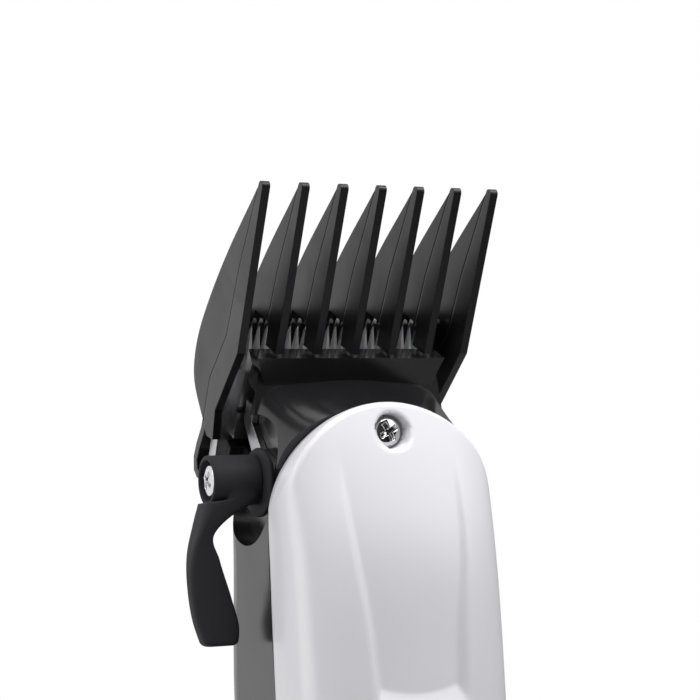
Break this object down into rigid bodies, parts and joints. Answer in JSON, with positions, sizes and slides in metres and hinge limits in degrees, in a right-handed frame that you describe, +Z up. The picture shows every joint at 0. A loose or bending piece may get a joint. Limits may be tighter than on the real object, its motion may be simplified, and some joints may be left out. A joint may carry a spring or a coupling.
{
  "type": "hair clipper",
  "caption": "Upright hair clipper with an arched white cover on a black grip, a tilted toothed blade set, a side taper lever and a long-finned guide comb.",
  "frame": {"origin": "middle of the foot's flat end, which the clipper stands on", "axes": "+Z up the grip to the blade, -Y out of the white cover, +Y to the skin side, -X to the taper lever"},
  "size_m": [0.0589, 0.0529, 0.1793],
  "materials": {
    "gloss_black": "gloss",
    "gloss_white": "gloss",
    "comb_grey": "satin",
    "lever_black": "satin",
    "blade_steel": "ground",
    "bright_steel": "polished",
    "spring_steel": "satin",
    "core_steel": "laminated",
    "copper_wire": "lacquered",
    "inner_plastic": "moulded",
    "pale_washer": "satin",
    "pin_brass": "plated",
    "switch_grey": "satin"
  },
  "bodies": {
    "housing": {"lower_housing": "gloss_black", "top_cover": "gloss_white", "cover_screws": "bright_steel", "fixed_blade": "blade_steel", "blade_screws": "spring_steel", "pivot_pin": "spring_steel", "pivot_clip": "spring_steel", "stator_core": "core_steel", "coil_bobbin": "inner_plastic", "coil_winding": "copper_wire", "core_screws": "spring_steel", "left_return_spring": "spring_steel", "right_return_spring": "spring_steel", "switch_body": "inner_plastic", "inlet_socket": "gloss_black", "inlet_pins": "pin_brass"},
    "taper_lever": {"taper_lever": "lever_black", "lever_washer": "pale_washer", "lever_screw": "bright_steel", "lever_shaft": "spring_steel", "shaft_clip": "spring_steel"},
    "taper_slide": {"cutter_guide": "inner_plastic", "cutter_spring": "spring_steel", "cam_follower": "bright_steel"},
    "cutter": {"moving_blade": "blade_steel"},
    "armature": {"armature_arm": "core_steel", "armature_bush": "pin_brass", "drive_finger": "inner_plastic"},
    "power_screw": {"power_screw": "spring_steel"},
    "switch_button": {"switch_button": "switch_grey"},
    "comb": {"guide_comb": "comb_grey"}
  },
  "joints": [
    {"name": "lever_turn", "type": "hinge", "parent": "housing", "child": "taper_lever", "pos_m": [-0.0251, 0.0066, 0.1251], "axis": [1, 0, 0], "range_deg": [0, 55]},
    {"name": "taper_travel", "type": "slide", "parent": "housing", "child": "taper_slide", "axis": [0, -0.4462, 0.8949], "range_m": [-0.00148, 0]},
    {"name": "armature_swing", "type": "hinge", "parent": "housing", "child": "armature", "pos_m": [0, 0, 0.062], "axis": [0, 1, 0], "range_deg": [-1.08, 1.08], "stiffness_Nm_per_rad": 2},
    {"name": "cutter_travel", "type": "slide", "parent": "taper_slide", "child": "cutter", "axis": [1, 0, 0], "range_m": [-0.0014, 0.0014]},
    {"name": "power_turn", "type": "hinge", "parent": "housing", "child": "power_screw", "pos_m": [0.018, 0, 0.048], "axis": [1, 0, 0], "range_deg": [-180, 180]},
    {"name": "switch_travel", "type": "slide", "parent": "housing", "child": "switch_button", "axis": [0, 0, 1], "range_m": [0, 0.004]},
    {"name": "comb_lift", "type": "slide", "parent": "housing", "child": "comb", "axis": [0, -0.4462, 0.8949], "range_m": [0, 0.045]}
  ],
  "couplings": [
    {"joint": "lever_turn", "follows": "taper_travel", "rad_per_m": -649.66},
    {"joint": "cutter_travel", "follows": "armature_swing", "m_per_rad": 0.07404}
  ]
}
